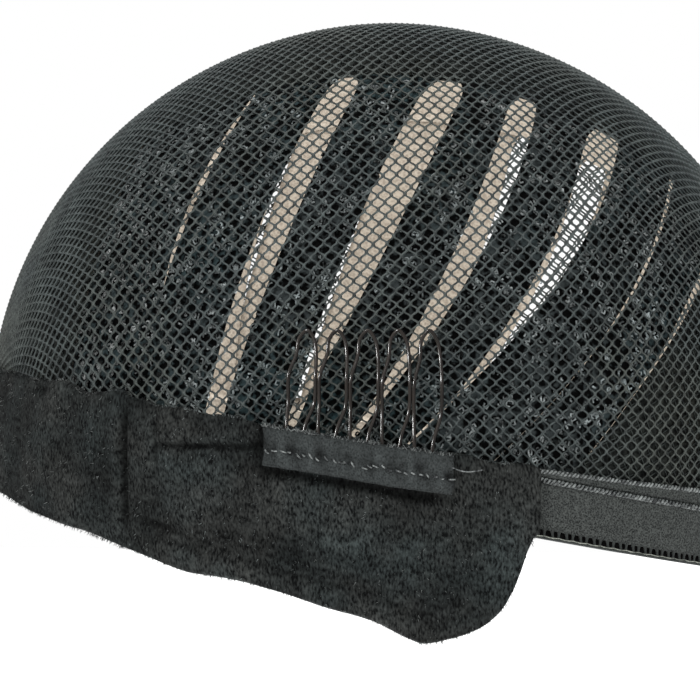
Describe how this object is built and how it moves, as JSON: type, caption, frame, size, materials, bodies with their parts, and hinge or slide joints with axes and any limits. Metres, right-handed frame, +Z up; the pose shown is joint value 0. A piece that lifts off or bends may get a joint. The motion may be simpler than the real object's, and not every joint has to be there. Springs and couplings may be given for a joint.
{
  "type": "wig cap",
  "caption": "Stretch-net wig cap over lace strips, with a velvet front band and ear tabs, sewn-in side combs and an elastic nape strap.",
  "frame": {"origin": "inside of the crown at its highest point, where the cap sits on the head", "axes": "+Z up, -Y towards the wearer's face, +X towards the wearer's left ear"},
  "size_m": [0.1664, 0.1984, 0.1393],
  "materials": {
    "net": "knitted stretch net, satin yarn",
    "lace": "looped lace, satin",
    "velvet": "short velvet pile",
    "elastic": "knitted elastic, matte",
    "tape": "woven tape, semi-matte",
    "wire": "coated spring wire, gloss"
  },
  "bodies": {
    "root": {"dome_net": "net", "crown_lining": "lace", "forehead_lining": "lace", "nape_lining": "lace", "lace_strip_1_left": "lace", "lace_strip_1_right": "lace", "lace_strip_2_left": "lace", "lace_strip_2_right": "lace", "lace_strip_3_left": "lace", "lace_strip_3_right": "lace", "lace_strip_4_left": "lace", "lace_strip_4_right": "lace", "lace_strip_5_left": "lace", "lace_strip_5_right": "lace", "lace_strip_6_left": "lace", "lace_strip_6_right": "lace", "lace_strip_7_left": "lace", "lace_strip_7_right": "lace", "velvet_band": "velvet", "nape_hem": "elastic", "nape_strap": "elastic", "comb_tape_left": "tape", "comb_tape_right": "tape", "comb_teeth_left": "wire", "comb_teeth_right": "wire"}
  },
  "joints": []
}
